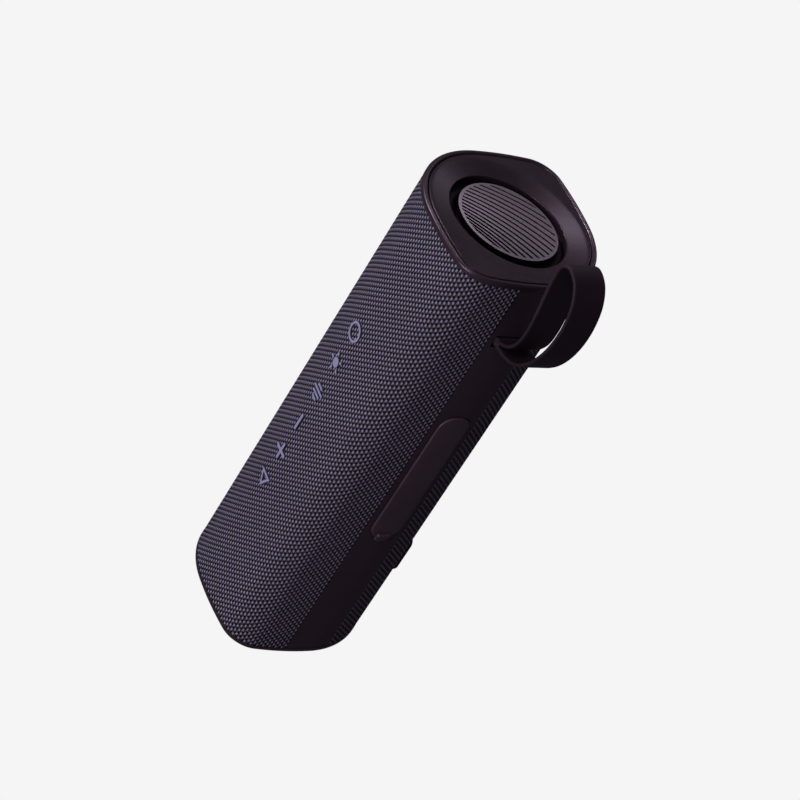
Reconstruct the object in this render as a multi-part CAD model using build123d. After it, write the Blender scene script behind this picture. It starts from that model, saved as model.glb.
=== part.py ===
from build123d import *
import math
import os

# Portable speaker: a leaf-section tube in a woven sleeve, with a passive radiator at each end,
# six raised keys on the crown, and a rubber spine at the back that carries the strap and port cover.
# Frame: X along the body (the strap end is -X), +Y to the back, +Z up, origin under the middle.

# ---------------------------------------------------------------- driving dimensions (mm)
body_length = 200.0
section_depth = 65.3            # corner to corner of the top side, before rounding
section_height = 64.4
section_lean = 3.86             # how far the top side's middle sits behind the bottom side's
side_bulge = 4.2
broad_corner_radius = 39.3      # top front and bottom back
tight_corner_radius = 12.3      # top back and bottom front

fabric_thickness = 1.5
shell_wall = 2.6
fit_gap = 0.1                   # fixed pieces that slot together
travel_gap = 0.3                # faces that move past each other
running_gap = 0.08              # radial, on a turning bead

rim_length = 2.2
rim_width = 2.2
rim_round = 1.0
groove_width = 0.35
plate_recess = 0.25
plate_plug = 2.0
dish_radius = 32.0
dish_depth = 1.8
opening_radius = 24.05

radiator_gap = 3.65             # from the cap's edge to the opening's wall
radiator_radius = opening_radius - radiator_gap
radiator_dome = 1.6
radiator_edge = 3.6
radiator_hub_radius = 15.0
radiator_hub = 3.0
weight_radius = 12.0
weight_thickness = 2.5
slot_count = 15
slot_width = 1.0
slot_depth = 1.1
slot_pitch = 2.58
slot_fan = 1.73                 # degrees from each slot to the next
slot_squeeze = 0.077            # how the pitch tightens towards the top
slot_shift = 4.55
slot_angle = -50.0
slot_border = 1.1
frame_thickness = 3.0
surround_thickness = 0.8
surround_sag = 1.5
surround_flange = 2.2

end_screw_radius = 1.0
end_screw_head_radius = 1.8
end_screw_head = 1.5
end_screw_length = 9.0
end_screw_reach = 28.3          # from the middle, towards each broad corner
corner_screw_reach = 38.0       # from the middle, towards each tight corner
boss_radius = 3.9
boss_length = 9.0

key_pitch = 15.9
key_row_centre = 0.8
key_proud = 0.55
key_travel = 0.4
key_pad = 11.6
key_pad_thickness = 1.3
key_pad_drop = 0.55             # fabric underside to pad, at the crown
symbol_stroke = 1.0
symbol_height = 7.8
switch_size = 5.0
switch_height = 1.5
board_thickness = 1.2
button_board_width = 14.0
button_board_end = 9.0          # past the outer keys' middles
post_radius = 1.4

spine_width = 20.2
spine_recess = 0.25
back_angle = -6.7               # the way the spine faces, from +Y towards +Z
cover_length = 65.4
cover_width = 14.0
cover_corner = 6.0
cover_proud = 0.45
tab_length = 4.2
tab_width = 6.6
tab_lift = 1.0
bay_length = 56.0
bay_width = 9.6
bay_floor = 9.6                 # from the spine's face line in to the bay's floor
tray_wall = 2.0
socket_stand = 1.2
usb_width = 9.2
usb_height = 3.5
jack_radius = 3.2
jack_bore = 1.75
card_width = 13.0
card_height = 2.4
socket_pitch = 17.0
main_board_length = 118.0
main_board_width = 25.0

strap_width = 14.4
strap_thickness = 1.5
strap_neck = 3.2
strap_root = -72.6              # X of the strap's bead
bead_radius = 1.7
bead_depth = 3.2                # below the spine's face line
anchor_length = 11.0
anchor_width = 18.0
anchor_depth = 7.4

foot_length = 18.5
foot_span = 35.0
foot_corner = 3.5
foot_proud = 1.0
foot_edge = 0.8
foot_place = 65.9

driver_place = 43.0
driver_height = -8.0
driver_radius = 20.0
driver_face = -27.6
driver_flange = 1.5
driver_window = 17.5
gasket_width = 2.0
cone_radius = 16.0
cone_depth = 6.0
cone_thickness = 0.7
cap_radius = 6.5
basket_depth = 10.5
magnet_radius = 13.0
magnet_thickness = 7.0

cell_radius = 9.2
cell_length = 65.0
cell_gap = 1.0
cell_y = 10.5
cell_z = -18.5
rib_thickness = 3.0

end = body_length / 2
half_depth = section_depth / 2
half_height = section_height / 2
shell_inset = fabric_thickness
inside_inset = fabric_thickness + shell_wall


# ---------------------------------------------------------------- the leaf section
def meet(c1, r1, c2, r2, near):
    """Where two circles cross, the crossing nearer to a point."""
    dx, dy = c2[0] - c1[0], c2[1] - c1[1]
    d = math.hypot(dx, dy)
    a = (r1 * r1 - r2 * r2 + d * d) / (2 * d)
    h = math.sqrt(max(r1 * r1 - a * a, 0.0))
    found = []
    for s in (1, -1):
        found.append((c1[0] + (a * dx - s * h * dy) / d, c1[1] + (a * dy + s * h * dx) / d))
    return min(found, key=lambda p: math.dist(p, near))


def leaf_arcs():
    """The section's eight arcs as (centre, radius, from angle, to angle), counter-clockwise in YZ."""
    top_front = (section_lean - half_depth, half_height)
    top_back = (section_lean + half_depth, half_height)
    corners = [top_front, (-top_back[0], -half_height), (-top_front[0], -half_height), top_back]
    radii = [broad_corner_radius, tight_corner_radius] * 2
    sides = []
    for i in range(4):
        p, q = corners[i], corners[(i + 1) % 4]
        span = math.dist(p, q)
        r = (span * span / 4 + side_bulge * side_bulge) / (2 * side_bulge)
        out = ((q[1] - p[1]) / span, (p[0] - q[0]) / span)
        mid = ((p[0] + q[0]) / 2, (p[1] + q[1]) / 2)
        sides.append(((mid[0] - out[0] * (r - side_bulge), mid[1] - out[1] * (r - side_bulge)), r))
    centres = []
    for i in range(4):
        (c1, r1), (c2, r2) = sides[i - 1], sides[i]
        centres.append(meet(c1, r1 - radii[i], c2, r2 - radii[i], corners[i]))
    arcs = []
    for i in range(4):
        before, after = sides[i - 1][0], sides[i][0]
        a0 = angle(before, centres[i])
        a1 = angle(after, centres[i])
        arcs.append((centres[i], radii[i], a0, a0 + (a1 - a0) % (2 * math.pi)))
        a2 = angle(after, centres[(i + 1) % 4])
        arcs.append((after, sides[i][1], a1, a1 + (a2 - a1) % (2 * math.pi)))
    return arcs


def angle(a, b):
    return math.atan2(b[1] - a[1], b[0] - a[0])


LEAF = leaf_arcs()


def leaf_face(inset):
    edges = []
    for (cy, cz), radius, a0, a1 in LEAF:
        r = radius - inset
        pts = [(cy + r * math.cos(a), cz + r * math.sin(a)) for a in (a0, (a0 + a1) / 2, a1)]
        edges.append(ThreePointArc(*pts))
    return make_face(edges)


def leaf_prism(inset, x0, x1):
    return extrude(Plane.YZ.offset(x0) * leaf_face(inset), amount=x1 - x0)


def leaf_ring(outer, inner, x0, x1):
    return leaf_prism(outer, x0, x1) - leaf_prism(inner, x0 - 1, x1 + 1)


# LEAF runs: top-front corner, front side, bottom-front corner, bottom side, bottom-back corner,
# back side, top-back corner, top side.
back_side, top_side = LEAF[5], LEAF[7]
crown_y = top_side[0][0]
crown_z = top_side[0][1] + top_side[1]
broad_way = angle(LEAF[4][0], LEAF[0][0])
broad_way = (-math.cos(broad_way), -math.sin(broad_way))
tight_way = angle((0, 0), LEAF[6][0])
tight_way = (math.cos(tight_way), math.sin(tight_way))

# The spine's own plane: local x along the body, local y down the back, local z outwards.
_out = (math.cos(math.radians(back_angle)), math.sin(math.radians(back_angle)))
back_point = (back_side[0][0] + back_side[1] * _out[0], back_side[0][1] + back_side[1] * _out[1])
BACK = Plane(origin=(0, *back_point), x_dir=(1, 0, 0), z_dir=(0, *_out))


def back_box(length, width, z0, z1, x=0.0):
    return BACK * Pos(x, 0, (z0 + z1) / 2) * Box(length, width, z1 - z0)


def back_pad(length, width, corner, z0, z1, x=0.0):
    sketch = RectangleRounded(length, width, min(corner, 0.49 * width))
    return BACK * Pos(x, 0, z0) * extrude(sketch, amount=z1 - z0)


def along_x(radius, x0, x1, y=0.0, z=0.0):
    return extrude(Plane.YZ.offset(x0) * Pos(y, z) * Circle(radius), amount=x1 - x0)


def both_ends(piece):
    """The -X end's piece and its mirrored twin at the other end."""
    return {"left": piece, "right": mirror(piece, Plane.YZ)}


# ---------------------------------------------------------------- keys
key_places = [key_row_centre + key_pitch * (i - 2.5) for i in range(6)]
key_names = ["key_power", "key_light", "key_mode", "key_volume_down", "key_volume_up", "key_play"]
pad_top = crown_z - fabric_thickness - key_pad_drop
pad_bottom = pad_top - key_pad_thickness
switch_top = pad_bottom - key_travel - 0.1
button_board_top = switch_top - switch_height


def symbol(name):
    """The key's raised shape, and the well round it when the shape has a hollow middle."""
    half = symbol_height / 2
    if name == "key_power":
        return Circle(half + 0.2) - Circle(half + 0.2 - symbol_stroke), Circle(half + 0.2)
    if name == "key_light":
        shape = Circle(half * 0.52)
        for i in range(5):
            ray = RectangleRounded(0.38 * half, 1.0, 0.45)
            shape += Rot(0, 0, 270 + 72 * i) * Pos(half * 0.87, 0) * ray
        return shape, None
    if name == "key_mode":
        shape = Sketch()
        for i, share in enumerate((0.5, 1.0, 0.72, 0.4)):
            bar = RectangleRounded(symbol_stroke, symbol_height * share, 0.45)
            shape += Pos((i - 1.5) * 1.9, 0) * bar
        return shape, None
    bar = RectangleRounded(symbol_height, symbol_stroke * 1.35, 0.5)
    if name == "key_volume_down":
        return bar, None
    if name == "key_volume_up":
        return bar + Rot(0, 0, 90) * bar, None
    reach = symbol_height * 0.4
    outer = make_face(Polyline((-reach, -half), (reach, 0), (-reach, half), close=True))
    return outer - offset(outer, amount=-symbol_stroke), outer


def pillar(sketch, x, z0, z1):
    return Pos(x, crown_y, z0) * extrude(sketch, amount=z1 - z0)


def key(name, x):
    shape, well = symbol(name)
    pad = RectangleRounded(key_pad, key_pad, 1.5)
    body = pillar(pad, x, pad_bottom, pad_top)
    rise = pillar(shape, x, pad_top, crown_z + 5)
    body += rise & leaf_prism(-key_proud, -end, end)
    if well:
        body += pillar(well, x, pad_top, crown_z + 5) & leaf_prism(0.4, -end, end)
    return body


def key_cut(name, x):
    shape, well = symbol(name)
    return pillar(offset(well or shape, amount=0.2), x, pad_bottom, crown_z + 5)


keys = {name: key(name, x) for name, x in zip(key_names, key_places)}
board_length = key_places[-1] - key_places[0] + 2 * button_board_end
button_board = Pos(key_row_centre, crown_y, button_board_top - board_thickness / 2) * Box(
    board_length, button_board_width, board_thickness)
key_switches = []
for x in key_places:
    middle = Pos(x, crown_y, (switch_top + button_board_top) / 2)
    key_switches.append(middle * Box(switch_size, switch_size, switch_height))
key_posts = []
for gap in (-2, 0, 2):
    middle = Pos(key_row_centre + gap * key_pitch, crown_y, (crown_z - 2 + button_board_top) / 2)
    key_posts.append(middle * Cylinder(post_radius, crown_z - 2 - button_board_top))

# ---------------------------------------------------------------- end assembly, built at the -X end
plate_back = rim_length + plate_plug
frame_back = plate_back + frame_thickness
disc_rim = plate_recess + dish_depth


def end_x(depth):
    return -end + depth


def make_rim():
    ring = leaf_ring(0, rim_width, end_x(0), end_x(rim_length))
    outer_face = ring.faces().sort_by(Axis.X)[0]
    return fillet(outer_face.edges(), rim_round)


def screw_places():
    places = []
    for way, reach in ((broad_way, end_screw_reach), (tight_way, corner_screw_reach)):
        for sign in (1, -1):
            places.append((sign * way[0] * reach, sign * way[1] * reach))
    return places


def make_face_plate():
    inset = rim_width + groove_width
    plate = leaf_prism(inset, end_x(plate_recess), end_x(rim_length))
    plate += leaf_prism(inside_inset + fit_gap, end_x(rim_length), end_x(plate_back))
    plate -= along_x(opening_radius, end_x(-1), end_x(plate_back + 1))
    dish = make_face(Polyline(
        (end_x(plate_recess - 1), 0),
        (end_x(plate_recess - 1), dish_radius + (dish_radius - opening_radius) / dish_depth),
        (end_x(plate_recess + dish_depth), opening_radius),
        (end_x(plate_recess + dish_depth), 0), close=True))
    plate -= revolve(dish, Axis.X)
    for y, z in screw_places():
        plate -= along_x(end_screw_head_radius + fit_gap, end_x(plate_back - end_screw_head - fit_gap),
                         end_x(plate_back + 1), y, z)
    return plate


def make_frame():
    plate = leaf_prism(inside_inset + fit_gap, end_x(plate_back), end_x(frame_back))
    plate -= along_x(opening_radius, end_x(plate_back - 1), end_x(frame_back + 1))
    seat = opening_radius + surround_flange + fit_gap
    plate -= along_x(seat, end_x(plate_back - 1), end_x(plate_back + surround_thickness))
    for y, z in screw_places():
        plate -= along_x(end_screw_radius, end_x(plate_back - 1), end_x(frame_back + 1), y, z)
    return plate


def make_surround():
    inner = radiator_radius + travel_gap
    middle = (inner + opening_radius) / 2
    x0 = end_x(plate_back)
    roll = ThreePointArc((x0, inner), (x0 + surround_sag, middle), (x0, opening_radius))
    under = ThreePointArc((x0 + surround_thickness, opening_radius),
                          (x0 + surround_sag + surround_thickness, middle), (x0 + surround_thickness, inner))
    lip = Polyline((x0, opening_radius), (x0, opening_radius + surround_flange),
                   (x0 + surround_thickness, opening_radius + surround_flange),
                   (x0 + surround_thickness, opening_radius))
    close = Line((x0 + surround_thickness, inner), (x0, inner))
    return revolve(make_face([roll, *lip.edges(), under, close]), Axis.X)


def make_disc():
    """Domed cover of the passive radiator, with fanned blind slots, and the hub behind it."""
    x0 = end_x(disc_rim)
    dome_radius = (radiator_radius ** 2 + radiator_dome ** 2) / (2 * radiator_dome)

    def dome(depth):
        return Pos(x0 + depth - radiator_dome + dome_radius, 0, 0) * Sphere(dome_radius)

    disc = along_x(radiator_radius, x0 - radiator_dome, x0 + radiator_edge) & dome(0)
    disc += along_x(radiator_hub_radius, x0 + radiator_edge, x0 + radiator_edge + radiator_hub)
    slots = Sketch()
    for i in range(slot_count):
        t = i - (slot_count - 1) / 2
        shift = slot_shift + slot_pitch * t - slot_squeeze * t * t
        slot = Rectangle(4 * radiator_radius, slot_width)
        slots += Rot(0, 0, slot_angle) * Pos(0, shift) * Rot(0, 0, slot_fan * t) * slot
    slots &= Circle(radiator_radius - slot_border)
    cutter = extrude(Plane.YZ.offset(x0 - radiator_dome - 1) * slots, amount=radiator_dome + 1 + slot_depth)
    return disc - (cutter - dome(slot_depth))


def make_weight():
    x0 = end_x(disc_rim + radiator_edge + radiator_hub)
    return along_x(weight_radius, x0, x0 + weight_thickness)


def make_end_screws():
    screws = []
    for y, z in screw_places():
        head = along_x(end_screw_head_radius, end_x(plate_back - end_screw_head), end_x(plate_back), y, z)
        stem = along_x(end_screw_radius, end_x(plate_back), end_x(plate_back + end_screw_length), y, z)
        screws.append(head + stem)
    return screws


rims = both_ends(make_rim())
plates = both_ends(make_face_plate())
frames = both_ends(make_frame())
surrounds = both_ends(make_surround())
discs = both_ends(make_disc())
weights = both_ends(make_weight())
screws_left = make_end_screws()
end_screws = screws_left + [mirror(s, Plane.YZ) for s in screws_left]

# ---------------------------------------------------------------- spine, port bay and cover
inside = leaf_prism(inside_inset, -end, end)
spine_x = end - rim_length
bay_inner = back_pad(bay_length, bay_width, bay_width / 2, -bay_floor, 2)
cover_seat = back_pad(cover_length + 2 * travel_gap, cover_width + 2 * travel_gap,
                      cover_corner + travel_gap, -4, 3)
strap_slot_length = strap_neck + 2.6
strap_slot = back_box(strap_slot_length, strap_width + 2 * travel_gap, -4, 4, strap_root + 0.45)

spine = leaf_ring(spine_recess, shell_inset, -spine_x, spine_x)
spine &= back_box(2 * end, spine_width, -12, 12)
spine -= cover_seat + strap_slot


def make_port_cover():
    lid = back_pad(cover_length, cover_width, cover_corner, -4, 4)
    lid &= leaf_prism(-cover_proud, -end, end) - leaf_prism(shell_inset - travel_gap, -end, end)
    tab_x = cover_length / 2 - tab_length / 2 + 1.6
    tab = back_pad(tab_length, tab_width, 1.2, -0.05, cover_proud + tab_lift, tab_x)
    return lid + tab


port_cover = make_port_cover()

tray = back_box(bay_length + 2 * tray_wall, bay_width + 2 * tray_wall, -bay_floor - tray_wall, -1) & inside
tray -= bay_inner
socket_x = [-socket_pitch, 0.0, socket_pitch]
board_face = -bay_floor - tray_wall
socket_top = -bay_floor + socket_stand


def socket_body(sketch, bore, x):
    body = extrude(sketch, amount=socket_top - board_face) - Pos(0, 0, 0.8) * extrude(bore, amount=9)
    return BACK * Pos(x, 0, board_face) * body


def socket_hole(sketch, x):
    hole = Pos(0, 0, -1) * extrude(offset(sketch, amount=fit_gap), amount=9)
    return BACK * Pos(x, 0, board_face) * hole


jack_shape = Circle(jack_radius)
usb_shape = RectangleRounded(usb_width, usb_height, usb_height * 0.49)
card_shape = RectangleRounded(card_width, card_height, 0.3)
jack_socket = socket_body(jack_shape, Circle(jack_bore), socket_x[0])
usb_socket = socket_body(usb_shape, offset(usb_shape, amount=-0.5), socket_x[1])
card_socket = socket_body(card_shape, Rectangle(card_width - 1.6, 0.9), socket_x[2])
for shape, x in zip((jack_shape, usb_shape, card_shape), socket_x):
    tray -= socket_hole(shape, x)
main_board = back_box(main_board_length, main_board_width, board_face - board_thickness, board_face)


# ---------------------------------------------------------------- strap and its anchor
def make_strap():
    """A moulded band that leaves the spine, runs out past the end and loops back to its own root."""
    neck_in = (strap_root - 0.85, 0.4)
    neck_out = (strap_root + 0.85, 0.4)
    line = Spline(
        neck_in, (-74.4, 3.4), (-76.8, 6.7), (-81.0, 9.0), (-87.0, 9.7), (-95.0, 8.9), (-104.0, 7.3),
        (-111.5, 6.2), (-116.6, 6.6), (-119.0, 9.8), (-117.6, 15.4), (-112.0, 20.2), (-104.0, 22.6),
        (-95.5, 23.0), (-87.0, 21.5), (-79.8, 18.2), (-74.6, 13.4), (-72.3, 7.6), neck_out)
    steps = 60
    near, far = [], []
    for i in range(steps + 1):
        p, t = line @ (i / steps), line % (i / steps)
        side = Vector(-t.Y, t.X) * (strap_thickness / 2)
        near.append(p + side)
        far.append(p - side)
    band = make_face([Spline(*near), Line(near[-1], far[-1]), Spline(*far[::-1]), Line(far[0], near[0])])
    neck = Pos(strap_root, (0.6 - bead_depth) / 2) * Rectangle(strap_neck, 0.6 + bead_depth)
    bead = Pos(strap_root, -bead_depth) * Circle(bead_radius)
    # local sketch (x along the body, y outwards) stands up in the spine's plane
    upright = BACK * Plane.XZ.offset(-strap_width / 2)
    return extrude(upright * (band + neck + bead), amount=strap_width)


strap = make_strap()
anchor = back_box(anchor_length, anchor_width, -anchor_depth, 0, strap_root)
anchor &= leaf_prism(shell_inset, -end, end)
bead_way = BACK * Pos(strap_root, 0, -bead_depth) * Rot(90, 0, 0)
anchor -= bead_way * Cylinder(bead_radius + running_gap, strap_width + 2 * travel_gap)
anchor -= back_box(strap_slot_length, strap_width + 2 * travel_gap, -bead_depth, 3, strap_root + 0.45)

# ---------------------------------------------------------------- feet
foot_bottom = -crown_z - foot_proud


def foot(x, grow=0.0):
    pad = RectangleRounded(foot_length + 2 * grow, foot_span + 2 * grow, foot_corner + grow)
    solid = Pos(x, -crown_y, foot_bottom) * extrude(pad, amount=15)
    if not grow:
        solid = fillet(solid.faces().sort_by(Axis.Z)[0].edges(), foot_edge)
        solid -= leaf_prism(shell_inset, -end, end)
    return solid


feet = [foot(-foot_place), foot(foot_place)]


# ---------------------------------------------------------------- front drivers
def turned(points, x):
    """A solid of revolution about the driver's axis; points are (radius, depth behind the flange's face)."""
    face = make_face(Polyline(*points, close=True))
    place = Pos(x, driver_face, driver_height)
    return place * revolve(face, Axis.Y)


def make_driver(x):
    back = basket_depth
    basket = turned([
        (driver_window, 0), (driver_radius, 0), (driver_radius, driver_flange),
        (driver_window + 1.2, driver_flange), (magnet_radius - 1, back), (cap_radius, back),
        (cap_radius, back - 1.2), (magnet_radius - 2.2, back - 1.2), (driver_window, driver_flange)], x)
    magnet = turned([(0, back), (magnet_radius, back), (magnet_radius, back + magnet_thickness),
                     (0, back + magnet_thickness)], x)
    cone = turned([
        (cone_radius, 0.6), (cone_radius, 0.6 + cone_thickness),
        (cap_radius, cone_depth + cone_thickness), (0, cone_depth - 1.2), (0, cone_depth - 2.0),
        (cap_radius, cone_depth)], x)
    ring = turned([(driver_radius - gasket_width, -9), (driver_radius, -9), (driver_radius, 0),
                   (driver_radius - gasket_width, 0)], x)
    return {"basket": basket, "magnet": magnet, "cone": cone, "gasket": ring & inside}


drivers = {"left": make_driver(-driver_place), "right": make_driver(driver_place)}

# ---------------------------------------------------------------- battery
cell_middle = (cell_length + cell_gap) / 2
cells = []
ribs = []
for side in (-1, 1):
    middle = side * cell_middle
    cells.append(along_x(cell_radius, middle - cell_length / 2, middle + cell_length / 2, cell_y, cell_z))
    for place in (-0.3, 0.3):
        rib_x = middle + place * cell_length
        block = Pos(rib_x, cell_y, cell_z - 12) * Box(rib_thickness, 2 * cell_radius, 24)
        bed = along_x(cell_radius, rib_x - 9, rib_x + 9, cell_y, cell_z)
        ribs.append((block - bed) & inside)

# ---------------------------------------------------------------- shell and sleeve
shell = leaf_ring(shell_inset, inside_inset, -spine_x, spine_x)
for y, z in screw_places():
    for sign in (-1, 1):
        x0, x1 = sorted((sign * (end - frame_back), sign * (end - frame_back - boss_length)))
        boss = along_x(boss_radius, x0, x1, y, z) & leaf_prism(shell_inset + 1, -end, end)
        shell += boss
        x0, x1 = sorted((sign * (end - frame_back + 1), sign * (end - plate_back - end_screw_length)))
        shell -= along_x(end_screw_radius, x0, x1, y, z)
for post in key_posts:
    shell += post
for x in key_places:
    shell -= pillar(RectangleRounded(key_pad + 2 * travel_gap, key_pad + 2 * travel_gap, 1.8), x,
                    pad_bottom - 4, crown_z)
shell -= bay_inner
shell -= back_box(anchor_length, anchor_width, -anchor_depth - 1, 4, strap_root)
for x in (-driver_place, driver_place):
    window = Pos(x, driver_face, driver_height) * Rot(90, 0, 0) * Cylinder(driver_window, 40)
    shell -= window & (Pos(0, -end, 0) * Box(2 * end, 2 * end - 20, 2 * end))

sleeve = leaf_ring(0, shell_inset, -spine_x, spine_x)
sleeve -= back_box(2 * end, spine_width, -12, 12)
for name, x in zip(key_names, key_places):
    sleeve -= key_cut(name, x)
for x in (-foot_place, foot_place):
    sleeve -= foot(x, fit_gap)

# ---------------------------------------------------------------- put the origin under the middle
nodes = {
    "inner_shell": [shell], "fabric_sleeve": [sleeve], "back_spine": [spine], "port_cover": [port_cover],
    "port_tray": [tray], "usb_socket": [usb_socket], "audio_jack": [jack_socket],
    "card_socket": [card_socket], "main_board": [main_board], "button_board": [button_board],
    "key_switches": key_switches, "hang_strap": [strap], "strap_anchor": [anchor], "rubber_feet": feet,
    "end_screws": end_screws, "battery_cells": cells, "battery_cradle": ribs,
}
for name, solid in keys.items():
    nodes[name] = [solid]
for side in ("left", "right"):
    nodes["end_rim_" + side] = [rims[side]]
    nodes["face_plate_" + side] = [plates[side]]
    nodes["radiator_frame_" + side] = [frames[side]]
    nodes["radiator_surround_" + side] = [surrounds[side]]
    nodes["radiator_disc_" + side] = [discs[side]]
    nodes["radiator_weight_" + side] = [weights[side]]
    for piece, solid in drivers[side].items():
        nodes["driver_" + piece + "_" + side] = [solid]

whole = Compound(children=[Compound(solid.solids()) for group in nodes.values() for solid in group])
box = whole.bounding_box()
shift = Pos(-(box.min.X + box.max.X) / 2, -(box.min.Y + box.max.Y) / 2, -box.min.Z)

os.makedirs("parts", exist_ok=True)
for name, group in nodes.items():
    pieces = [shift * s for solid in group for s in solid.solids()]
    made = pieces[0] if len(pieces) == 1 else Compound(children=pieces)
    export_step(made, "parts/" + name + ".step")
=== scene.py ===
import math

import bmesh
import bpy
import numpy as np
from mathutils import Matrix, Vector


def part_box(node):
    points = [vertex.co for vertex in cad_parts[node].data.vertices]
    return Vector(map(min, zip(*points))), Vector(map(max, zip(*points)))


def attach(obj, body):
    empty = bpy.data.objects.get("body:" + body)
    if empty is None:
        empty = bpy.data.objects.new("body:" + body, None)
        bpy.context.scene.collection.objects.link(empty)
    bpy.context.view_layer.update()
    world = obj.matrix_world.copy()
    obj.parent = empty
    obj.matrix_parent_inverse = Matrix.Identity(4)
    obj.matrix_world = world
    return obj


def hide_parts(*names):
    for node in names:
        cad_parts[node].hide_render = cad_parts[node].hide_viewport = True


# Looks of the portable speaker. Lengths are in millimetres from the body's middle, with X along the
# body, Y to the back and Z up, and place() turns them into the frame's metres.

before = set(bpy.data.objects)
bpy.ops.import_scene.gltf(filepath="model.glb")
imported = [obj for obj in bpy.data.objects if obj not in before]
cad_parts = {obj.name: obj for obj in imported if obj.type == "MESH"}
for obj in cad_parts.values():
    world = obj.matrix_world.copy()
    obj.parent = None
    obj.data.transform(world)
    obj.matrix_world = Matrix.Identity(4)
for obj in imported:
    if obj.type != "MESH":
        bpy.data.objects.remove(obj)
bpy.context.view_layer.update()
MM = 0.001

section_depth = 65.3
section_height = 64.4
section_lean = 3.86
side_bulge = 4.2
broad_corner_radius = 39.3
tight_corner_radius = 12.3
back_angle = math.radians(-6.7)

fabric_thickness = 1.5
shell_wall = 2.6
hem_gap = 0.1                   # how far the sleeve's turned edge stays above the shell
spine_width = 20.2
rim_length = 2.2
rim_width = 2.2
rim_round = 1.0
rim_gap = 0.02                  # between a rim's back and the sleeve's edge
groove_width = 0.35
plate_recess = 0.25
plate_edge = 0.35
plate_plug = 2.0
plug_gap = 0.1
opening_round = 0.45
dish_soft = 0.12                # how softly the dish meets the flat
dish_radius = 32.0
dish_depth = 1.8
opening_radius = 24.05
radiator_radius = 20.4
radiator_dome = 1.6
slot_depth = 1.1

column_pitch = 1.134            # threads that run round the body
row_pitch = 1.375               # threads that run along it
thread_rise = 0.12              # a thread's crown over its edges
thread_lift = 0.09              # how far it rises over a crossing
cross_crown = 0.75              # the crown of the threads round the body, as a share of thread_rise
sleeve_inset = 0.06             # the highest threads, below the rims

cover_length = 65.4
cover_width = 14.0
cover_corner = 6.0
cover_proud = 0.45
cover_round = 0.45
tab_length = 4.2
tab_width = 6.6
tab_lift = 1.0

strap_width = 14.4
strap_thickness = 1.5
strap_neck = 3.2
strap_root = -72.6
strap_round = 0.62
neck_round = 0.7
root_spread = 0.85              # from the neck's middle to where each end of the band goes in

low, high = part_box("fabric_sleeve")
middle = (low + high) / 2
low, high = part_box("end_rim_left")
body_end = (middle.x - low.x) / MM
spine_end = body_end - rim_length


# ---------------------------------------------------------------- the leaf section
def angle(a, b):
    return math.atan2(b[1] - a[1], b[0] - a[0])


def meet(c1, r1, c2, r2, near):
    """Where two circles cross, the crossing nearer to a point."""
    dx, dy = c2[0] - c1[0], c2[1] - c1[1]
    d = math.hypot(dx, dy)
    a = (r1 * r1 - r2 * r2 + d * d) / (2 * d)
    h = math.sqrt(r1 * r1 - a * a)
    found = []
    for s in (1, -1):
        found.append((c1[0] + (a * dx - s * h * dy) / d, c1[1] + (a * dy + s * h * dx) / d))
    return min(found, key=lambda p: math.dist(p, near))


def leaf_arcs():
    """The section's eight arcs from the top front corner down, each (centre, radius, from, to)."""
    top_front = (section_lean - section_depth / 2, section_height / 2)
    top_back = (section_lean + section_depth / 2, section_height / 2)
    corners = [top_front, (-top_back[0], -top_back[1]), (-top_front[0], -top_front[1]), top_back]
    radii = [broad_corner_radius, tight_corner_radius] * 2
    sides = []
    for i in range(4):
        p, q = corners[i], corners[(i + 1) % 4]
        span = math.dist(p, q)
        r = (span * span / 4 + side_bulge * side_bulge) / (2 * side_bulge)
        out = ((q[1] - p[1]) / span, (p[0] - q[0]) / span)
        mid = ((p[0] + q[0]) / 2, (p[1] + q[1]) / 2)
        sides.append(((mid[0] - out[0] * (r - side_bulge), mid[1] - out[1] * (r - side_bulge)), r))
    centres = []
    for i in range(4):
        (c1, r1), (c2, r2) = sides[i - 1], sides[i]
        centres.append(meet(c1, r1 - radii[i], c2, r2 - radii[i], corners[i]))
    arcs = []
    for i in range(4):
        before, after = sides[i - 1][0], sides[i][0]
        a0, a1 = angle(before, centres[i]), angle(after, centres[i])
        arcs.append((centres[i], radii[i], a0, a0 + (a1 - a0) % (2 * math.pi)))
        a2 = angle(after, centres[(i + 1) % 4])
        arcs.append((after, sides[i][1], a1, a1 + (a2 - a1) % (2 * math.pi)))
    return arcs


LEAF = leaf_arcs()
arc_lengths = np.array([r * (a1 - a0) for _, r, a0, a1 in LEAF])
arc_starts = np.concatenate([[0], np.cumsum(arc_lengths)])
girth = arc_starts[-1]
back_side = LEAF[5]
spine_middle = arc_starts[5] + back_side[1] * ((back_angle - back_side[2]) % (2 * math.pi))


def leaf(along, inset):
    """Points (y, z) of the section, at distances along it from the top front corner's first end, going down
    the front, under, and up the back. inset is how far in from the outer surface; negative stands proud."""
    along = np.asarray(along, float) % girth
    inset = np.broadcast_to(inset, along.shape)
    which = np.clip(np.searchsorted(arc_starts, along, side="right") - 1, 0, 7)
    centre = np.array([arc[0] for arc in LEAF])[which]
    radius = np.array([arc[1] for arc in LEAF])[which]
    start = np.array([arc[2] for arc in LEAF])[which]
    turn = start + (along - arc_starts[which]) / radius
    way = np.stack([np.cos(turn), np.sin(turn)], -1)
    return centre + way * (radius - inset)[..., None]


def leaf_radius(turn, inset):
    """How far the section, taken in by inset, is from the middle line in each direction."""
    edge = leaf(np.linspace(0, girth, 4000, endpoint=False), inset)
    bearing = np.arctan2(edge[:, 1], edge[:, 0]) % (2 * math.pi)
    order = np.argsort(bearing)
    return np.interp(turn, bearing[order], np.hypot(*edge[order].T), period=2 * math.pi)


# ---------------------------------------------------------------- meshes
def place(points):
    return np.asarray(points, float).reshape(-1, 3) * MM + np.array(middle)


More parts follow.
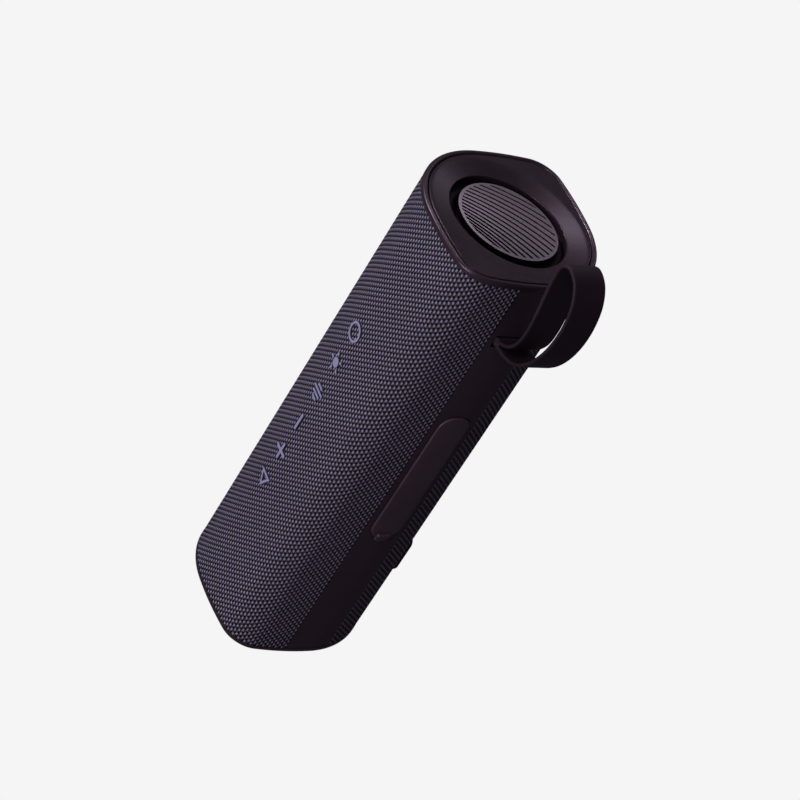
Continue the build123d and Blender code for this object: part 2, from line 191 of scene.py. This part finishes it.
def grid(name, points, wrap=False, weave=None):
    """Quads over points (rows, columns, 3). wrap joins the last column to the first. weave gives UVs."""
    rows, columns = points.shape[:2]
    index = np.arange(rows * columns).reshape(rows, columns)
    right = np.roll(index, -1, 1) if wrap else index[:, 1:]
    left = index if wrap else index[:, :-1]
    quads = np.stack([left[:-1], right[:-1], right[1:], left[1:]], -1).reshape(-1, 4)
    mesh = bpy.data.meshes.new(name)
    mesh.vertices.add(rows * columns)
    mesh.vertices.foreach_set("co", place(points).astype(np.float32).ravel())
    mesh.loops.add(quads.size)
    mesh.loops.foreach_set("vertex_index", quads.astype(np.int32).ravel())
    mesh.polygons.add(len(quads))
    mesh.polygons.foreach_set("loop_start", np.arange(0, quads.size, 4, dtype=np.int32))
    if weave is not None:
        layer = mesh.uv_layers.new(name="weave")
        layer.data.foreach_set("uv", weave.reshape(-1, 2)[quads.ravel()].astype(np.float32).ravel())
    mesh.update(calc_edges=True)
    mesh.shade_smooth()
    obj = bpy.data.objects.new(name, mesh)
    bpy.context.scene.collection.objects.link(obj)
    return obj


def closed(obj, sharp=40):
    """Fills a piece's open ends, turns its faces outwards and keeps its real edges crisp."""
    bm = bmesh.new()
    bm.from_mesh(obj.data)
    bmesh.ops.holes_fill(bm, edges=[e for e in bm.edges if e.is_boundary], sides=0)
    bmesh.ops.recalc_face_normals(bm, faces=bm.faces)
    for f in bm.faces:
        f.smooth = True
    bm.to_mesh(obj.data)
    bm.free()
    obj.data.set_sharp_from_angle(angle=math.radians(sharp))
    return obj


def welded(obj):
    """Joins the points where a ring of quads meets itself."""
    bm = bmesh.new()
    bm.from_mesh(obj.data)
    bmesh.ops.remove_doubles(bm, verts=bm.verts, dist=1e-7)
    bm.to_mesh(obj.data)
    bm.free()
    return obj


def outward(obj):
    """Turns an open skin's faces away from the body's middle line."""
    bm = bmesh.new()
    bm.from_mesh(obj.data)
    face = next(iter(bm.faces))
    away = face.calc_center_median() - middle
    away.x = 0
    if face.normal.dot(away) < 0:
        bmesh.ops.reverse_faces(bm, faces=bm.faces)
    bm.to_mesh(obj.data)
    bm.free()
    return obj


def rounded(length, width, corner, count):
    """A rounded rectangle's outline as count points, evenly spread."""
    corner = min(corner, length / 2 - 1e-4, width / 2 - 1e-4)
    run, rise, arc = length - 2 * corner, width - 2 * corner, math.pi / 2 * corner
    sides = np.cumsum([0, rise, arc, run, arc, rise, arc, run, arc])
    t = np.linspace(0, sides[-1], count, endpoint=False)
    x, y = np.zeros(count), np.zeros(count)
    hx, hy = run / 2, rise / 2
    for i in range(4):
        turn = i * math.pi / 2
        ahead = np.array([-math.sin(turn), math.cos(turn)])
        across = np.array([math.cos(turn), math.sin(turn)])
        on = (t >= sides[2 * i]) & (t < sides[2 * i + 1])
        half_along, half_out = (hy, hx + corner) if i % 2 == 0 else (hx, hy + corner)
        step = t[on] - sides[2 * i] - half_along
        x[on], y[on] = ahead[0] * step + across[0] * half_out, ahead[1] * step + across[1] * half_out
        on = (t >= sides[2 * i + 1]) & (t < sides[2 * i + 2])
        bend = turn + (t[on] - sides[2 * i + 1]) / corner
        cx = hx if i in (0, 3) else -hx
        cy = hy if i in (0, 1) else -hy
        x[on], y[on] = cx + corner * np.cos(bend), cy + corner * np.sin(bend)
    return np.stack([x, y], -1)


# ---------------------------------------------------------------- materials
def material(name, colour, roughness=0.5, metallic=0.0, specular=0.5, glint=(1, 1, 1)):
    m = bpy.data.materials.new(name)
    m.use_nodes = True
    shader = m.node_tree.nodes["Principled BSDF"]
    shader.inputs["Base Color"].default_value = (*colour, 1)
    shader.inputs["Roughness"].default_value = roughness
    shader.inputs["Metallic"].default_value = metallic
    shader.inputs["Specular IOR Level"].default_value = specular
    shader.inputs["Specular Tint"].default_value = (*glint, 1)
    return m


class Nodes:
    """Short calls that add nodes to one material."""

    def __init__(self, m):
        self.tree = m.node_tree
        self.shader = self.tree.nodes["Principled BSDF"]

    def feed(self, socket, value):
        if isinstance(value, bpy.types.NodeSocket):
            self.tree.links.new(value, socket)
        else:
            socket.default_value = value

    def math(self, operation, a, b=0.0, c=0.0, clamp=False):
        node = self.tree.nodes.new("ShaderNodeMath")
        node.operation = operation
        node.use_clamp = clamp
        for socket, value in zip(node.inputs, (a, b, c)):
            self.feed(socket, value)
        return node.outputs[0]

    def noise(self, scale, detail=3.0, roughness=0.55, stretch=(1, 1, 1), source="Object"):
        coordinates = self.tree.nodes.new("ShaderNodeTexCoord")
        mapping = self.tree.nodes.new("ShaderNodeMapping")
        mapping.inputs["Scale"].default_value = stretch
        node = self.tree.nodes.new("ShaderNodeTexNoise")
        node.inputs["Scale"].default_value = scale
        node.inputs["Detail"].default_value = detail
        node.inputs["Roughness"].default_value = roughness
        self.tree.links.new(coordinates.outputs[source], mapping.inputs["Vector"])
        self.tree.links.new(mapping.outputs["Vector"], node.inputs["Vector"])
        return node.outputs["Fac"]

    def mix(self, factor, a, b):
        node = self.tree.nodes.new("ShaderNodeMix")
        node.data_type = "RGBA"
        self.feed(node.inputs[0], factor)
        for socket, value in ((node.inputs[6], a), (node.inputs[7], b)):
            self.feed(socket, value if isinstance(value, bpy.types.NodeSocket) else (*value, 1))
        return node.outputs[2]

    def ramp(self, value, low, high, a=0.0, b=1.0):
        node = self.tree.nodes.new("ShaderNodeMapRange")
        for socket, v in zip(node.inputs, (value, low, high, a, b)):
            self.feed(socket, v)
        return node.outputs[0]

    def bump(self, height, distance, strength=1.0):
        node = self.tree.nodes.new("ShaderNodeBump")
        node.inputs["Strength"].default_value = strength
        node.inputs["Distance"].default_value = distance
        self.tree.links.new(height, node.inputs["Height"])
        self.tree.links.new(node.outputs["Normal"], self.shader.inputs["Normal"])

    def colour(self, socket):
        self.tree.links.new(socket, self.shader.inputs["Base Color"])

    def roughness(self, socket):
        self.tree.links.new(socket, self.shader.inputs["Roughness"])


def shade(colour, share):
    return tuple(min(1.0, c * share) for c in colour)


def moulded(name, colour, roughness, grain, depth, mottle=0.12, spread=0.06, **more):
    """Moulded rubber or plastic: a fine grain, faint cloudiness, and gloss that varies a little."""
    m = material(name, colour, roughness, **more)
    n = Nodes(m)
    fine = n.noise(grain, 2.0)
    cloud = n.noise(60, 3.0)
    n.colour(n.mix(n.ramp(cloud, 0.3, 0.7), shade(colour, 1 - mottle), shade(colour, 1 + mottle)))
    uneven = n.math("ADD", n.math("MULTIPLY", fine, 0.5), n.math("MULTIPLY", cloud, 0.5))
    n.roughness(n.ramp(uneven, 0.3, 0.7, roughness - spread, roughness + spread))
    n.bump(fine, depth)
    return m


def woven(name):
    """Plain weave: bright threads along the body over darker ones round it, worked out from the UVs, whose
    unit is one thread each way. Each crossing is part lit thread and part painted shade: a near-black half
    for the shadow the threads cast into the gap."""
    m = material(name, (0.1, 0.1, 0.12), 0.55, specular=0.15)
    n = Nodes(m)
    uv = n.tree.nodes.new("ShaderNodeUVMap")
    uv.uv_map = "weave"
    split = n.tree.nodes.new("ShaderNodeSeparateXYZ")
    n.tree.links.new(uv.outputs["UV"], split.inputs[0])
    wander = n.math("MULTIPLY", n.math("SUBTRACT", n.noise(260, 2.0), 0.5), 0.22)
    u = n.math("ADD", split.outputs[0], wander)
    v = n.math("ADD", split.outputs[1], n.math("MULTIPLY", wander, 0.6))
    wave_u = n.math("SINE", n.math("MULTIPLY", u, math.pi))
    wave_v = n.math("SINE", n.math("MULTIPLY", v, math.pi))
    over = n.math("MULTIPLY", wave_u, wave_v)
    rise_v = n.math("ABSOLUTE", wave_v)
    side = n.math("FRACT", v)
    reach = n.math("MULTIPLY", wave_u, n.math("SIGN", wave_v))
    bright = n.math("MULTIPLY", n.ramp(rise_v, 0.62, 0.86), n.ramp(reach, -0.12, 0.2))
    # painted shade: on one side of each crossing where the thread round the body is on top, the colour goes
    # near black for the shadow cast into the gap beside it
    painted_shade = n.math("MULTIPLY", n.ramp(over, 0.05, -0.3), n.ramp(side, 0.6, 0.4))
    cross = n.math("MULTIPLY", n.ramp(over, 0.0, -0.3), n.ramp(side, 0.4, 0.6))
    fibre = n.noise(2600, 2.0, stretch=(0.2, 1, 1))
    patchy = n.noise(45, 4.0)
    lively = n.math("ADD", 0.72, n.math("MULTIPLY", fibre, 0.36))
    lively = n.math("ADD", lively, n.math("MULTIPLY", patchy, 0.2))
    # the second colour is painted shade, near black for the shadowed side of the crossings
    base = n.mix(painted_shade, (0.02, 0.015, 0.024), (0.001, 0.0008, 0.001))
    base = n.mix(cross, base, (0.08, 0.056, 0.073))
    base = n.mix(bright, base, (0.31, 0.3, 0.45))
    tint = n.tree.nodes.new("ShaderNodeVectorMath")
    tint.operation = "SCALE"
    n.tree.links.new(base, tint.inputs[0])
    n.feed(tint.inputs["Scale"], lively)
    n.colour(tint.outputs[0])
    n.roughness(n.ramp(bright, 0.0, 1.0, 0.75, 0.42))
    n.bump(n.math("ADD", bright, n.math("MULTIPLY", fibre, 0.3)), 0.0001, 0.6)
    return m


def printed_key(name):
    """Rubber key with a pale lavender print on its top and dark sides."""
    m = material(name, (0.3, 0.3, 0.48), 0.55, specular=0.3)
    n = Nodes(m)
    facing = n.tree.nodes.new("ShaderNodeNewGeometry")
    split = n.tree.nodes.new("ShaderNodeSeparateXYZ")
    n.tree.links.new(facing.outputs["Normal"], split.inputs[0])
    grain = n.noise(2600, 2.0)
    top = n.mix(grain, (0.25, 0.25, 0.41), (0.37, 0.37, 0.58))
    n.colour(n.mix(n.ramp(split.outputs[2], 0.75, 0.93), (0.03, 0.027, 0.045), top))
    n.roughness(n.ramp(grain, 0.3, 0.7, 0.5, 0.62))
    n.bump(grain, 0.00003)
    return m


def slotted_cap(name, x0, sign):
    """Satin grey cap whose slots get painted shade: below its domed face the colour goes near black for the
    shadow in them.
    """
    m = material(name, (0.4, 0.34, 0.4), 0.42, metallic=0.75)
    n = Nodes(m)
    coordinates = n.tree.nodes.new("ShaderNodeTexCoord")
    dome_radius = (radiator_radius ** 2 + radiator_dome ** 2) / (2 * radiator_dome)
    ball = Vector((x0 + sign * (dome_radius - radiator_dome), 0, 0)) * MM + middle
    away = n.tree.nodes.new("ShaderNodeVectorMath")
    away.operation = "DISTANCE"
    n.tree.links.new(coordinates.outputs["Object"], away.inputs[0])
    away.inputs[1].default_value = ball
    depth = n.math("SUBTRACT", dome_radius * MM, away.outputs["Value"])
    # painted shade: from 0.02 mm below the dome the colour runs to near black, standing for the shadow
    # inside the slots
    slot_shade = n.ramp(depth, 0.02 * MM, 0.1 * slot_depth * MM)
    grain = n.noise(3800, 2.0)
    face = n.mix(grain, (0.29, 0.245, 0.29), (0.38, 0.32, 0.38))
    # the near-black colour in the slots is painted shade
    n.colour(n.mix(slot_shade, face, (0.008, 0.005, 0.007)))
    n.roughness(n.ramp(grain, 0.3, 0.7, 0.38, 0.5))
    n.bump(grain, 0.00003)
    return m


rubber_colour = (0.021, 0.0132, 0.0195)
purple = (1.0, 0.72, 0.95)
body_rubber = moulded(
    "body_rubber", shade(rubber_colour, 1.15), 0.31, 2400, 0.00001, specular=0.5, glint=purple)
spine_rubber = moulded(
    "spine_rubber", shade(rubber_colour, 2.1), 0.45, 2400, 0.00002, specular=0.3, glint=purple)
rim_rubber = moulded(
    "rim_rubber", shade(rubber_colour, 1.5), 0.3, 2400, 0.000001, spread=0.02, specular=0.65, glint=purple)
flap_rubber = moulded(
    "flap_rubber", shade(rubber_colour, 3.3), 0.4, 2400, 0.00002, specular=0.5, glint=purple)
strap_rubber = moulded(
    "strap_rubber", shade(rubber_colour, 1.1), 0.6, 2400, 0.00003, specular=0.25, glint=purple)
foot_rubber = moulded("foot_rubber", shade(rubber_colour, 1.4), 0.7, 1800, 0.00005, glint=purple)
surround_rubber = moulded(
    "surround_rubber", (0.005, 0.003, 0.0045), 0.6, 1800, 0.00003, specular=0.2, glint=purple)
key_rubber = printed_key("key_rubber")
shell_plastic = moulded("shell_plastic", (0.012, 0.012, 0.013), 0.5, 1500, 0.00005)
board_green = moulded("circuit_board", (0.01, 0.07, 0.03), 0.35, 900, 0.00002, mottle=0.3)
socket_metal = moulded("socket_metal", (0.5, 0.5, 0.52), 0.25, 1500, 0.00001, metallic=1.0)
screw_steel = moulded("screw_steel", (0.22, 0.22, 0.23), 0.35, 1800, 0.00002, metallic=1.0)
battery_wrap = moulded("battery_wrap", (0.02, 0.06, 0.22), 0.25, 500, 0.00003)
speaker_steel = moulded("speaker_steel", (0.02, 0.02, 0.021), 0.45, 2200, 0.00003)
magnet_ferrite = moulded("magnet_ferrite", (0.04, 0.04, 0.042), 0.6, 1400, 0.00006)
cone_paper = moulded("cone_paper", (0.02, 0.02, 0.021), 0.75, 700, 0.00012, mottle=0.3)
fabric = woven("woven_fabric")


def paint(node, m):
    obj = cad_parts[node]
    obj.data.materials.clear()
    obj.data.materials.append(m)


painted = {
    "back_spine": spine_rubber, "rubber_feet": foot_rubber, "inner_shell": shell_plastic,
    "port_tray": shell_plastic, "strap_anchor": shell_plastic, "battery_cradle": shell_plastic,
    "audio_jack": shell_plastic, "usb_socket": socket_metal, "card_socket": socket_metal,
    "key_switches": socket_metal, "main_board": board_green, "button_board": board_green,
    "end_screws": screw_steel, "battery_cells": battery_wrap, "fabric_sleeve": fabric,
    "hang_strap": strap_rubber, "port_cover": flap_rubber,
}
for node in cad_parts:
    if node.startswith("key_") and node != "key_switches":
        painted[node] = key_rubber
for side, sign in (("left", 1), ("right", -1)):
    disc_rim = -sign * (body_end - plate_recess - dish_depth)
    painted["end_rim_" + side] = rim_rubber
    painted["face_plate_" + side] = body_rubber
    painted["radiator_frame_" + side] = shell_plastic
    painted["radiator_surround_" + side] = surround_rubber
    painted["radiator_disc_" + side] = slotted_cap("radiator_cap_" + side, disc_rim, sign)
    painted["radiator_weight_" + side] = screw_steel
    painted["driver_basket_" + side] = speaker_steel
    painted["driver_magnet_" + side] = magnet_ferrite
    painted["driver_cone_" + side] = cone_paper
    painted["driver_gasket_" + side] = surround_rubber
for node, m in painted.items():
    paint(node, m)


def finished(obj, m, body, slot, *nodes):
    """Gives a piece its material and body and hides the CAD nodes that it stands for. slot is not used."""
    obj.data.materials.clear()
    obj.data.materials.append(m)
    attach(obj, body)
    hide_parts(*nodes)
    return obj


# ---------------------------------------------------------------- woven sleeve
def make_sleeve():
    """The woven sleeve as real over-and-under threads, in three strips that meet between two threads."""
    start = spine_middle + spine_width / 2
    stretch = girth - spine_width
    rows = round(stretch / row_pitch)
    columns = round(2 * spine_end / column_pitch)
    u = np.add.outer(np.arange(columns), (0, 0.22, 0.5, 0.78)).ravel()
    u = np.append(u, columns)
    cut = [0, round(rows / 3), round(2 * rows / 3), rows]
    for i, part in enumerate(("top", "front", "under")):
        v = np.add.outer(np.arange(cut[i], cut[i + 1]), (0, 0.27, 0.73)).ravel()
        v = np.append(v, cut[i + 1])
        V, U = np.meshgrid(v, u, indexing="ij")
        wave_u, wave_v = np.sin(np.pi * U), np.sin(np.pi * V)
        along = thread_rise * np.abs(wave_v) + thread_lift * wave_u * np.sign(np.round(wave_v, 6))
        crown = cross_crown * thread_rise * np.abs(wave_u)
        across = crown - thread_lift * wave_v * np.sign(np.round(wave_u, 6))
        inset = sleeve_inset + thread_rise + thread_lift - np.maximum(along, across)
        position = start + V / rows * stretch
        x = U / columns * 2 * spine_end - spine_end
        inset = np.pad(inset, 1, mode="edge")
        position, x = np.pad(position, 1, mode="edge"), np.pad(x, 1, mode="edge")
        V, U = np.pad(V, 1, mode="edge"), np.pad(U, 1, mode="edge")
        inset[:, [0, -1]] = fabric_thickness - hem_gap
        if i == 0:
            inset[0] = fabric_thickness - hem_gap
        if i == 2:
            inset[-1] = fabric_thickness - hem_gap
        kept = slice(0 if i == 0 else 1, None if i == 2 else -1)
        yz = leaf(position, inset)
        points = np.concatenate([x[..., None], yz], -1)[kept]
        uv = np.stack([U, V], -1)[kept]
        strip = outward(grid("woven_sleeve_" + part, points, weave=uv))
        finished(strip, fabric, "body", "woven_fabric", "fabric_sleeve")


make_sleeve()


# ---------------------------------------------------------------- ends
def arc_points(cx, cy, r, a0, a1, count):
    """Points round an arc, in degrees, both ends included."""
    turn = np.radians(np.linspace(a0, a1, count))
    return [(cx + r * math.cos(a), cy + r * math.sin(a)) for a in turn]


def make_rim(side, sign):
    """The rounded bead round an end: a ring of (inset, depth) points swept round the section."""
    back = rim_length - rim_gap
    profile = [(0.0, back)]
    profile += arc_points(rim_round, rim_round, rim_round, 180, 270, 9)
    profile += arc_points(rim_width - rim_round, rim_round, rim_round, 270, 360, 9)
    profile += [(rim_width, back)]
    along = np.linspace(0, girth, 560, endpoint=False)
    rings = []
    for inset, depth in profile:
        x = np.full(along.shape, -sign * (body_end - depth))
        rings.append(np.concatenate([x[:, None], leaf(along, inset)], -1))
    rings.append(rings[0])
    rim = grid("end_rim_bead_" + side, np.array(rings), wrap=True)
    finished(closed(welded(rim), 50), rim_rubber, "body", "body_rubber", "end_rim_" + side)


def make_face_plate(side, sign):
    """The end's face: flat corners that run softly into a shallow dish and down into the opening."""
    turn = np.linspace(0, 2 * math.pi, 480, endpoint=False)
    reach = leaf_radius(turn, rim_width + groove_width)
    plug = leaf_radius(turn, fabric_thickness + shell_wall + plug_gap)
    back = rim_length + plate_plug
    lip = opening_round

    def dished(radius):
        slope = dish_depth / (dish_radius - opening_radius)
        drop = slope * (dish_radius - radius)
        return plate_recess + 0.5 * (drop + np.sqrt(drop * drop + dish_soft * dish_soft))

    rings = []

    def ring(radius, depth):
        radius = np.broadcast_to(radius, turn.shape)
        depth = np.broadcast_to(depth, turn.shape)
        x = -sign * (body_end - depth)
        rings.append(np.stack([x, radius * np.cos(turn), radius * np.sin(turn)], -1))

    ring(opening_radius, back)
    for inset, depth in arc_points(opening_radius + lip, lip, lip, 180, 270, 7):
        ring(inset, depth + dished(opening_radius + lip))
    for share in np.linspace(0.03, 0.97, 40):
        radius = (opening_radius + lip) * (1 - share) + (reach - plate_edge) * share
        ring(radius, dished(radius))
    for inset, depth in arc_points(-plate_edge, plate_edge, plate_edge, 270, 360, 7):
        ring(reach + inset, depth + dished(reach - plate_edge))
    ring(reach, rim_length)
    ring(plug, rim_length)
    ring(plug, back)
    rings.append(rings[0])
    plate = grid("face_dish_" + side, np.array(rings), wrap=True)
    finished(closed(welded(plate), 50), body_rubber, "body", "body_rubber", "face_plate_" + side)


for side, sign in (("left", 1), ("right", -1)):
    make_rim(side, sign)
    make_face_plate(side, sign)


# ---------------------------------------------------------------- pieces on the back
def on_back(x, across, height):
    """Points on the back: x along the body, across down from the spine's middle line, height out."""
    yz = leaf(spine_middle - across, -np.asarray(height, float))
    return np.concatenate([np.asarray(x, float)[..., None], yz], -1)


def back_pad(name, length, width, corner, levels, x=0.0, count=160):
    """A pad on the back, lofted through (inset, height) levels from its underside to its top."""
    rings = []
    for inset, height in levels:
        outline = rounded(length - 2 * inset, width - 2 * inset, max(corner - inset, 0.05), count)
        rings.append(on_back(outline[:, 0] + x, outline[:, 1], np.full(count, height)))
    return closed(grid(name, np.array(rings), wrap=True), 60)


def joined(name, pieces):
    bpy.ops.object.select_all(action="DESELECT")
    for piece in pieces:
        piece.select_set(True)
    bpy.context.view_layer.objects.active = pieces[0]
    bpy.ops.object.join()
    pieces[0].name = name
    return pieces[0]


def make_port_cover():
    """The soft flap over the port bay, with a raised bar and a tongue to lift it by."""
    crest = [(0.55, -1.2), (0.0, -0.7), (0.0, 0.0)]
    bend = np.linspace(0.15, math.pi / 2, 8)
    crest += [(cover_round - cover_round * math.cos(a), cover_proud * math.sin(a)) for a in bend]
    crest += [(1.5, cover_proud), (3.0, cover_proud), (5.0, cover_proud), (6.6, cover_proud)]
    lid = back_pad("lid", cover_length, cover_width, cover_corner, crest, count=240)
    tab_x = cover_length / 2 - tab_length / 2 + 1.6
    top = cover_proud + tab_lift
    tongue = [(0.3, -0.05), (0.0, 0.15), (0.15, 0.5), (0.6, 0.72), (1.6, 0.8)]
    tongue_piece = back_pad("tongue", tab_length, tab_width, 2.0, tongue, tab_x + 0.2, 96)
    bar = [(0.0, 0.3), (0.0, top - 0.5), (0.12, top - 0.2), (0.35, top - 0.05), (0.6, top)]
    bar_piece = back_pad("bar", 1.6, tab_width - 0.4, 0.75, bar, tab_x - 1.2, 80)
    cover = joined("port_flap", [lid, tongue_piece, bar_piece])
    finished(cover, flap_rubber, "port_cover", "body_rubber", "port_cover")


make_port_cover()


def smooth_line(points, per_span):
    """A Catmull-Rom curve through points, with knots by the root of the chord's length."""
    p = np.asarray(points, float)
    p = np.vstack([2 * p[0] - p[1], p, 2 * p[-1] - p[-2]])
    out = []
    for i in range(1, len(p) - 2):
        q = p[i - 1:i + 3]
        knots = np.concatenate([[0], np.cumsum(np.linalg.norm(np.diff(q, axis=0), axis=1) ** 0.5)])
        for t in np.linspace(knots[1], knots[2], per_span, endpoint=False):
            a = [(knots[k + 1] - t) / (knots[k + 1] - knots[k]) * q[k]
                 + (t - knots[k]) / (knots[k + 1] - knots[k]) * q[k + 1] for k in range(3)]
            b = [(knots[k + 2] - t) / (knots[k + 2] - knots[k]) * a[k]
                 + (t - knots[k]) / (knots[k + 2] - knots[k]) * a[k + 1] for k in range(2)]
            out.append((knots[2] - t) / (knots[2] - knots[1]) * b[0]
                       + (t - knots[1]) / (knots[2] - knots[1]) * b[1])
    out.append(p[-2])
    return np.array(out)


def make_strap():
    """The rubber loop: a flat band with round edges, swept along its line, and the neck it grows from."""
    route = [
        (strap_root - root_spread, -1.2), (strap_root - root_spread, 0.4), (-74.4, 3.4), (-76.8, 6.7),
        (-81.0, 9.0), (-87.0, 9.7), (-95.0, 8.9), (-104.0, 7.3), (-111.5, 6.2), (-116.6, 6.6),
        (-119.0, 9.8), (-117.6, 15.4), (-112.0, 20.2), (-104.0, 22.6), (-95.5, 23.0), (-87.0, 21.5),
        (-79.8, 18.2), (-74.6, 13.4), (-72.3, 7.6),
        (strap_root + root_spread, 0.4), (strap_root + root_spread, -1.2)]
    line = smooth_line(route, 12)
    step = np.gradient(line, axis=0)
    step /= np.linalg.norm(step, axis=1)[:, None]
    side = np.stack([-step[:, 1], step[:, 0]], -1)
    outline = rounded(strap_width, strap_thickness, strap_round, 64)
    out = np.array([math.cos(back_angle), math.sin(back_angle)])
    down = np.array([out[1], -out[0]])
    foot = leaf(np.array([spine_middle]), 0.0)[0]
    rings = []
    for (x, height), (sx, sh) in zip(line, side):
        px = x + sx * outline[:, 1]
        ph = height + sh * outline[:, 1]
        yz = foot + np.outer(ph, out) + np.outer(outline[:, 0], down)
        rings.append(np.concatenate([px[:, None], yz], -1))
    band = closed(grid("band", np.array(rings), wrap=True), 60)
    rings = []
    for inset, height in ((0.5, -3.0), (0.25, -1.0), (0.0, -0.3), (-0.35, 0.1), (-0.1, 0.45), (0.25, 0.9),
                          (0.55, 1.5), (0.8, 2.3)):
        shape = rounded(strap_neck - 2 * inset, strap_width - max(inset, 0), neck_round, 64)
        yz = foot + out * height + np.outer(shape[:, 1], down)
        rings.append(np.concatenate([(shape[:, 0] + strap_root)[:, None], yz], -1))
    neck = closed(grid("neck", np.array(rings), wrap=True), 60)
    strap = joined("strap_loop", [band, neck])
    finished(strap, strap_rubber, "strap", "strap_rubber", "hang_strap")


make_strap()


# ---------------------------------------------------------------- floor, light and camera
def glowing(name, colour):
    """Even pale paint that needs no lamp, so that the object is on a plain ground with no shadow."""
    m = bpy.data.materials.new(name)
    m.use_nodes = True
    nodes = m.node_tree.nodes
    nodes.clear()
    glow = nodes.new("ShaderNodeEmission")
    glow.inputs["Color"].default_value = (*colour, 1)
    output = nodes.new("ShaderNodeOutputMaterial")
    m.node_tree.links.new(glow.outputs[0], output.inputs["Surface"])
    return m


def make_stage():
    pale = glowing("pale_ground", (0.913, 0.913, 0.913))
    bpy.ops.mesh.primitive_plane_add(size=12, location=(0, 0, -0.0005))
    floor = bpy.context.object
    bpy.ops.mesh.primitive_uv_sphere_add(segments=48, ring_count=24, radius=5.5)
    backdrop = bpy.context.object
    for obj, name in ((floor, "floor"), (backdrop, "backdrop")):
        obj.name = name
        obj.data.materials.append(pale)
        obj.visible_diffuse = False
        obj.visible_glossy = False
        obj.visible_shadow = False


def area_light(name, spot, target, size, power, colour=(1, 1, 1)):
    data = bpy.data.lights.new(name, "AREA")
    data.shape = "DISK"
    data.size = size
    data.energy = power
    data.color = colour
    lamp = bpy.data.objects.new(name, data)
    lamp.location = Vector(spot) + middle
    lamp.rotation_euler = (Vector(target) - Vector(spot)).to_track_quat("-Z", "Y").to_euler()
    bpy.context.scene.collection.objects.link(lamp)


make_stage()
area_light("high", (-0.3, 0.45, 1.4), (0, 0, 0), 1.0, 11, (1, 0.98, 1))
area_light("front", (-0.75, -1.0, 0.75), (-0.1, 0, 0), 0.16, 7, (1, 0.98, 1))
area_light("side", (-1.05, 0.3, 0.62), (-0.1, 0, 0), 0.16, 1.6, (1, 0.95, 1))
area_light("end", (-1.1, -0.85, -0.32), (-0.1, 0, 0), 0.2, 1.4, (0.95, 0.88, 1))
area_light("low", (-0.75, -0.8, -1.12), (-0.1, 0, 0), 0.4, 0.38, (0.97, 0.88, 1))
world = bpy.data.worlds.new("room")
world.use_nodes = True
world.node_tree.nodes["Background"].inputs["Color"].default_value = (0.9, 0.78, 0.95, 1)
world.node_tree.nodes["Background"].inputs["Strength"].default_value = 0.07
bpy.context.scene.world = world
bpy.context.scene.view_settings.view_transform = "Standard"

sight = Vector((0.5689, -0.6253, -0.5342)).normalized()
upright = Vector((-0.691, -0.7157, 0.1018))
right = sight.cross(upright).normalized()
upright = right.cross(sight)
camera_data = bpy.data.cameras.new("camera")
camera_data.sensor_width = 36
camera_data.lens = 147.1
camera_data.clip_start = 0.05
camera_data.clip_end = 30
camera = bpy.data.objects.new("camera", camera_data)
turn = Matrix((right, upright, -sight)).transposed().to_4x4()
camera.matrix_world = Matrix.Translation(Vector((-0.7104, 0.7757, 0.6601)) + middle) @ turn
bpy.context.scene.collection.objects.link(camera)
bpy.context.scene.camera = camera
